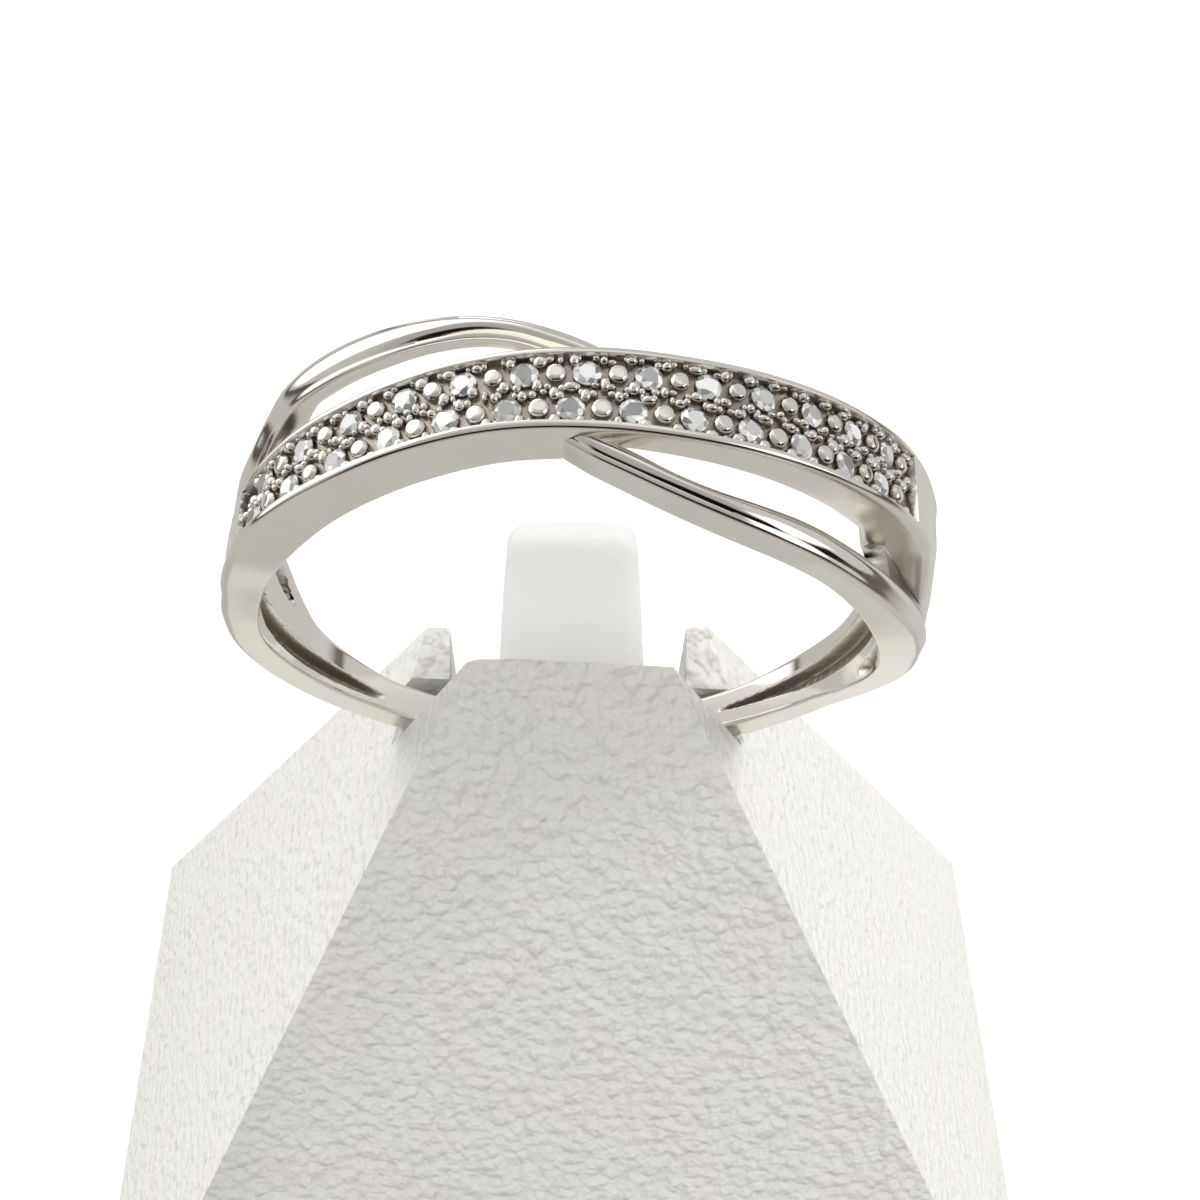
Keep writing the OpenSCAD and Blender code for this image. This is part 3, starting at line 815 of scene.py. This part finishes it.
class Finish:
    """A material or a world and its nodes."""

    def __init__(self, owner):
        owner.use_nodes = True
        self.owner, self.tree = owner, owner.node_tree
        self.tree.nodes.clear()

    def node(self, kind, settings=None, inputs=None, out=0):
        made = self.tree.nodes.new(kind)
        for name, value in (settings or {}).items():
            if name == "stops":
                stops = made.color_ramp.elements
                while len(stops) < len(value):
                    stops.new(0.5)
                for stop, (at, colour) in zip(stops, value):
                    stop.position, stop.color = at, colour
            else:
                setattr(made, name, value)
        for name, value in (inputs or {}).items():
            if isinstance(value, Wire):
                self.tree.links.new(value.socket, made.inputs[name])
            else:
                made.inputs[name].default_value = value
        return Wire(self, made.outputs[out]) if made.outputs else None

    def blend(self, share, a, b):
        """Colour a where share is 0 and b where it is 1."""
        made = self.node("ShaderNodeMix", {"data_type": "RGBA"}, {0: share}, 2)
        for slot, value in ((6, a), (7, b)):
            socket = made.socket.node.inputs[slot]
            if isinstance(value, Wire):
                self.tree.links.new(value.socket, socket)
            else:
                socket.default_value = (*value, 1)
        return made

    def here(self, scale=1.0, stretch=(1, 1, 1)):
        """Place on the object, in metres times scale."""
        at = self.node("ShaderNodeTexCoord", out=3)
        size = tuple(scale * s for s in stretch)
        return self.node("ShaderNodeMapping", inputs={"Vector": at, "Scale": size})

    def noise(self, scale, detail=2.0, rough=0.5, stretch=(1, 1, 1)):
        return self.node("ShaderNodeTexNoise", inputs={
            "Vector": self.here(scale, stretch), "Scale": 1.0, "Detail": detail,
            "Roughness": rough})

    def rise(self, value, start, end):
        """0 to 1 with level ends while the value goes from start to end."""
        return self.node("ShaderNodeMapRange", {"interpolation_type": "SMOOTHSTEP"},
                         {"Value": value, "From Min": start, "From Max": end})

    def dot(self, vector, axis):
        return self.node("ShaderNodeVectorMath", {"operation": "DOT_PRODUCT"},
                         {0: vector, 1: axis}, 1)

    def facing(self):
        """The way the skin faces, on the object."""
        return self.node("ShaderNodeTexCoord", out=1)

    def bump(self, height, distance, strength=1.0):
        return self.node("ShaderNodeBump", inputs={
            "Height": height, "Distance": distance, "Strength": strength})

    def ray(self, kind):
        """1 for rays of this kind: 0 camera, 3 mirrored."""
        return self.node("ShaderNodeLightPath", out=kind)

    def surface(self, **sockets):
        """Ends the net in one Principled shader. Underscores stand for spaces."""
        shader = self.node("ShaderNodeBsdfPrincipled", inputs={
            name.replace("_", " "): value for name, value in sockets.items()})
        self.node("ShaderNodeOutputMaterial", inputs={"Surface": shader})


def finish(name):
    return Finish(bpy.data.materials.new(name))


def cover(obj, made):
    obj.data.materials.clear()
    obj.data.materials.append(made.owner)


# %% [markdown]
# ## Polished white gold
# Polished metal has hardly any colour of its own. What shows is the room, broken by
# faint polishing lines. A wheel doesn't reach the channel, the grooves and the valleys
# beside the gaps, so they stay brushed and rougher. They are also painted darker: painted
# shade in the channel and the grooves, and painted shade and reflections in streaks in
# the valleys. Two numbers on each point say how deep it lies in such a place. The flat
# sides are a little duller than the crowns.

# %% Hollows and valleys
def on_ring(points):
    """Angle, place along the finger and height over the bore, from places in metres."""
    p = (points / MM - RING_AT) @ SET_UP
    return (np.degrees(np.arctan2(p[:, 0], p[:, 2])), p[:, 1],
            np.hypot(p[:, 0], p[:, 2]) - BORE)


def hollows(points):
    """1 on the channel floor and in the grooves, 0 on open skin. The channel lies
    between the rims, over the band's foot and a tenth of a millimetre down or more."""
    a, y, h = on_ring(points)
    under_rim = curve(PAVED, 3, a) - h
    past_front = y - curve(PAVED, 1, a) - RIM + 0.02 > 0
    inside = past_front & (curve(PAVED, 2, a) - RIM + 0.02 - y > 0)
    channel = (ramp((under_rim - 0.1) / 0.16) * inside * (h > 0.75)
               * (abs(a) < PAVED_END + 0.2))
    return np.maximum(channel, ramp(groove_depth(a, y) / 0.3) * (h > 0.03) * (h < 0.5))


def valleys(points):
    """1 in the two valleys between wing and paved band."""
    a, y, h = on_ring(points)
    found = np.zeros(len(a))
    for side, table in (("right", WING_RIGHT), ("left", WING_LEFT)):
        b, z = half_turn(side) * a, half_turn(side) * y
        wing_gap, paved_gap = -curve(table, 2, b), paved_marks(side, b)[0]
        inside = ramp((z - wing_gap) / 0.1) * ramp((paved_gap - z) / 0.1)
        found += inside * ramp((b - FADING) / 4) * ramp((88 - b) / 8) * (h > 0.01)
    return found


co = np.empty(len(ring.data.vertices) * 3)
ring.data.vertices.foreach_get("co", co)
for name, depth_of in (("hollow", hollows), ("valley", valleys)):
    values = depth_of(co.reshape(-1, 3))
    ring.data.attributes.new(name, "FLOAT", "POINT").data.foreach_set("value", values)
    print(name, "on", np.count_nonzero(values > 0.5), "points")

# %% White gold
gold = finish("white gold, polished")
hollow = gold.node("ShaderNodeAttribute", {"attribute_name": "hollow"}, out=2)
valley = gold.node("ShaderNodeAttribute", {"attribute_name": "valley"}, out=2)
cloud = gold.noise(700, 1)
lines = gold.noise(9000, 0, 0.6, (1, 0.12, 1))
grit = gold.noise(6500, 0)
streak = gold.noise(5000, 1, 0.5, (0.15, 1.6, 0.15))
side = gold.rise(abs(gold.dot(gold.facing(), SET_UP[:, 1])), 0.7, 0.95)
shade = gold.blend(cloud, (0.79, 0.765, 0.715), (0.85, 0.83, 0.785))
# Painted shade: the channel floor and the grooves are darkened towards brown.
shade = gold.blend(hollow * 0.9, shade, (0.34, 0.30, 0.26))
# Painted shade and reflections: dark streaks in the valleys beside the gaps.
shade = gold.blend(valley * streak, shade, (0.42, 0.40, 0.38))
marks = lines * 0.02 + cloud * 0.3 + grit * hollow + streak * valley * 0.6
gold.surface(
    Base_Color=shade, Metallic=1.0,
    Roughness=0.06 + cloud * 0.06 + side * 0.12 + hollow * 0.16 + valley * 0.24,
    Normal=gold.bump(marks, 0.00003, 0.5))
cover(ring, gold)

# %% [markdown]
# ## The stones' fire
# Light that enters a cut stone comes back from facet to facet, so each facet shows
# another grey. Real glass would need many bounces for stones this small. A shade per
# facet, under a hard clear gloss, gives the same sparkle and survives an export.

# %% Diamond
spark = finish("diamond, cut")
facet = spark.node("ShaderNodeAttribute", {"attribute_name": "flash"}, out=2)
grey = spark.node("ShaderNodeValToRGB", {"stops": [
    (0.0, (0.05, 0.05, 0.05, 1)), (0.3, (0.26, 0.26, 0.26, 1)),
    (0.6, (0.66, 0.67, 0.67, 1)), (0.9, (1.0, 1.0, 0.99, 1))]}, {0: facet})
speck = spark.noise(5000, 2)
spark.surface(
    Base_Color=spark.blend(speck * 0.15, grey, (0.75, 0.76, 0.77)), Metallic=0.25,
    Roughness=0.04 + speck * 0.05, IOR=2.42, Coat_Weight=1.0, Coat_Roughness=0.02)
cover(diamonds, spark)

# %% [markdown]
# ## Leatherette and satin plastic
# The stand's cover is a pebbled white leatherette: islands about half a millimetre
# wide with soft valleys between them, finer wrinkles, and a faint warm and cool
# mottling. The upright faces in the slot and on the horns are painted greyer, as
# painted shade. The tongue is smooth, with the haze of moulded plastic, and lets some
# light through.

# %% Stand cover
hide = finish("leatherette, white")
pebble = hide.node("ShaderNodeTexVoronoi", inputs={
    "Vector": hide.here(2100), "Scale": 1.0, "Randomness": 1.0})
wrinkle = hide.noise(2800, 1, 0.6)
tint = hide.noise(330, 1)
cloth = hide.blend(hide.rise(tint, 0.35, 0.65), (0.82, 0.79, 0.75), (0.78, 0.80, 0.775))
cloth = hide.blend(pebble * 0.6, (0.89, 0.88, 0.85), cloth)
# Painted shade: faces that look to the sides or to the front are blended to a darker
# grey.
painted_shade_faces = (hide.rise(abs(hide.dot(hide.facing(), (1, 0, 0))), 0.95, 0.99)
            + hide.rise(hide.dot(hide.facing(), (0, -1, 0)), 0.95, 0.99))
cloth = hide.blend(painted_shade_faces, cloth, (0.56, 0.58, 0.57))
hide.surface(
    Base_Color=cloth, Roughness=0.62 + wrinkle * 0.2, Specular_IOR_Level=0.35,
    Normal=hide.bump(wrinkle * 1.2 - pebble, 0.00015, 1.0))
cover(stand, hide)

# %% Tongue plastic
satin = finish("plastic, satin")
haze = satin.noise(1500, 3)
pores = satin.noise(12000, 2)
satin.surface(
    Base_Color=satin.blend(haze, (0.90, 0.91, 0.89), (0.94, 0.95, 0.93)),
    Roughness=0.38 + haze * 0.12, Normal=satin.bump(pores, 0.000005, 0.4),
    Subsurface_Weight=1.0, Subsurface_Radius=(1, 1, 1), Subsurface_Scale=0.004)
cover(tongue, satin)

# %% [markdown]
# ## Floor
# White paper. The photo is exposed so that the paper burns out to pure white, yet the
# metal mirrors it as a soft grey that gets darker further off. So the paper is bright
# for the camera and calmer for every other ray.

# %% Floor
def disc_floor(radius, rings, sides):
    """Flat disc: rings of points round the middle at equal steps of the radius."""
    r = np.linspace(0.02, 1, rings)[:, None] * radius
    q = np.linspace(0, 2 * math.pi, sides, endpoint=False)
    grid = np.stack(np.broadcast_arrays(r * np.cos(q), r * np.sin(q), -1e-5), -1)
    i, j = np.meshgrid(np.arange(rings - 1), np.arange(sides), indexing="ij")
    a, b = i * sides + j, i * sides + (j + 1) % sides
    quads = np.stack([a, a + sides, b + sides, b], -1).reshape(-1, 4).tolist()
    return grid.reshape(-1, 3), quads + [list(range(sides))]


FLOOR_RADIUS, LIT_AT = 0.45, (-0.04, 0.10, 0)
points, faces = disc_floor(FLOOR_RADIUS, 12, 96)
floor_mesh = bpy.data.meshes.new("floor")
floor_mesh.from_pydata(points.tolist(), [], faces)
floor = bpy.data.objects.new("floor", floor_mesh)
bpy.context.collection.objects.link(floor)
paper = finish("paper, white")
fibre = paper.noise(900, 0)
seen = paper.ray(0)
away = paper.node("ShaderNodeVectorMath", {"operation": "DISTANCE"},
                  {0: paper.here(), 1: LIT_AT}, 1)
# Painted light: for every ray but the camera's, the paper is grey round LIT_AT and
# darkens further off, a painted pool of light that the metal mirrors.
mirrored_sheet = paper.blend(paper.rise(away, 0.14, 0.25), (0.50, 0.495, 0.48),
                             (0.10, 0.08, 0.07))
white_sheet = paper.blend(fibre, (0.94, 0.94, 0.945), (0.96, 0.96, 0.965))
paper.surface(
    Base_Color=paper.blend(seen, mirrored_sheet, white_sheet), Roughness=0.8,
    Specular_IOR_Level=0.0, Emission_Strength=1.0,
    Emission_Color=paper.blend(seen, (0, 0, 0), (0.07, 0.07, 0.07)))
cover(floor, paper)
print("floor:", len(points), "points")

# %% [markdown]
# ## Light
# Polished metal shows the room, so the room is painted on the world as flat cards: a
# bright window on the left, a small one on the right, calmer walls, and a dark warm
# patch low in front. Only mirrored rays see them. Every other ray sees a plain soft
# light, a little stronger from the left and from behind, which takes less time. Three
# soft lamps that the metal doesn't mirror light the stand.

# %% Room
room = Finish(bpy.data.worlds.new("room"))
bpy.context.scene.world = room.owner
towards = room.node("ShaderNodeTexCoord", out=0)


def card(azimuth, elevation, wide, high, blur):
    """1 on a flat card that faces the ring from this direction (0 is the viewer's side,
    90 the right), 0 beside it, with soft rims. wide and high are half its width and
    height in degrees. A place on the card is the direction's part along the card over
    its part ahead."""
    a, e = math.radians(azimuth), math.radians(elevation)
    ahead = room.dot(towards, (math.sin(a) * math.cos(e), -math.cos(a) * math.cos(e),
                               math.sin(e)))
    u = abs(room.dot(towards, (math.cos(a), math.sin(a), 0)) / ahead)
    v = abs(room.dot(towards, (-math.sin(a) * math.sin(e), math.cos(a) * math.sin(e),
                               math.cos(e))) / ahead)
    wide, high = (math.tan(math.radians(x)) for x in (wide, high))
    return (room.rise(u, wide + blur, wide - blur)
            * room.rise(v, high + blur, high - blur) * room.rise(ahead, 0.0, 0.05))


CARDS = [  # azimuth, elevation, half width, half height, brightness, blur
    (160, 72, 32, 18, 0.95, 0.2), (110, 20, 50, 34, 0.66, 0.3),
    (-5, 36, 48, 34, 0.46, 0.25), (5, 6, 45, 17, 0.003, 0.08), (30, 0, 45, 9, 0.01, 0.05),
    (-122, 28, 46, 30, 1.5, 0.06), (68, 20, 20, 13, 1.5, 0.04)]
WALLS, DAYLIGHT, WARM = 0.60, (1.0, 0.99, 0.97), (0.80, 0.60, 0.50)
glow = WALLS
for azimuth, elevation, wide, high, bright, blur in CARDS:
    mask = card(azimuth, elevation, wide, high, blur)
    glow = (1 - mask) * glow + mask * bright
tone = room.blend(room.rise(glow, 0.0, 0.4), WARM, DAYLIGHT)
mirrored = room.node("ShaderNodeBackground", inputs={"Color": tone, "Strength": glow})
shine = room.dot(towards, (-0.28, 0.20, 0.0)) + 0.70
backdrop = 1.05
plain = room.node("ShaderNodeBackground", inputs={
    "Color": (*DAYLIGHT, 1), "Strength": room.ray(0) * (backdrop - shine) + shine})
light = room.node("ShaderNodeMixShader", inputs={0: room.ray(3), 1: plain, 2: mirrored})
room.node("ShaderNodeOutputWorld", inputs={"Surface": light})
print(len(CARDS), "cards,", len(room.tree.nodes), "nodes in the room")


# %% Lamps
def lamp(name, at, size, power):
    """A round soft lamp that looks at the stand. Camera and metal don't see it."""
    data = bpy.data.lights.new(name, "AREA")
    data.shape, data.size, data.energy = "DISK", size, power
    obj = bpy.data.objects.new(name, data)
    obj.location = at
    obj.rotation_euler = (Vector((0, 0, 0.02)) - Vector(at)).to_track_quat(
        "-Z", "Y").to_euler()
    obj.visible_camera = obj.visible_glossy = False
    bpy.context.collection.objects.link(obj)


lamp("left window", (-0.30, 0.10, 0.26), 0.20, 0.42)
lamp("right window", (0.30, 0.05, 0.22), 0.20, 0.70)
lamp("fill", (0.10, -0.35, 0.30), 0.30, 0.45)

# %% [markdown]
# ## The camera
# The photo looks down on the ring from close in front, at 48 degrees. Its place was
# worked out from the ring's edges and the stand's corners.

# %% Camera
PITCH, YAW, TILT = 0.84177, -0.035866, 0.02545
CAMERA_AT = np.array([-0.419, -35.874, 72.200])
look = turn("Z", TILT) @ turn("X", PITCH) @ turn("Y", YAW) @ np.array(
    [[1, 0, 0], [0, 0, -1], [0, 1, 0]])
axes = (np.diag([1, -1, -1]) @ look).T
camera = bpy.data.objects.new("camera", bpy.data.cameras.new("camera"))
camera.data.lens, camera.data.sensor_width = 57, 36
camera.data.clip_start, camera.data.clip_end = 0.001, 10
placed = np.eye(4)
placed[:3, :3] = axes
placed[:3, 3] = CAMERA_AT * MM
camera.matrix_world = Matrix(placed.tolist())
bpy.context.collection.objects.link(camera)
bpy.context.scene.camera = camera
bpy.context.scene.view_settings.view_transform = "Standard"
print("camera at", CAMERA_AT, "mm, lens", camera.data.lens, "mm")

# %% The end
bpy.context.view_layer.update()
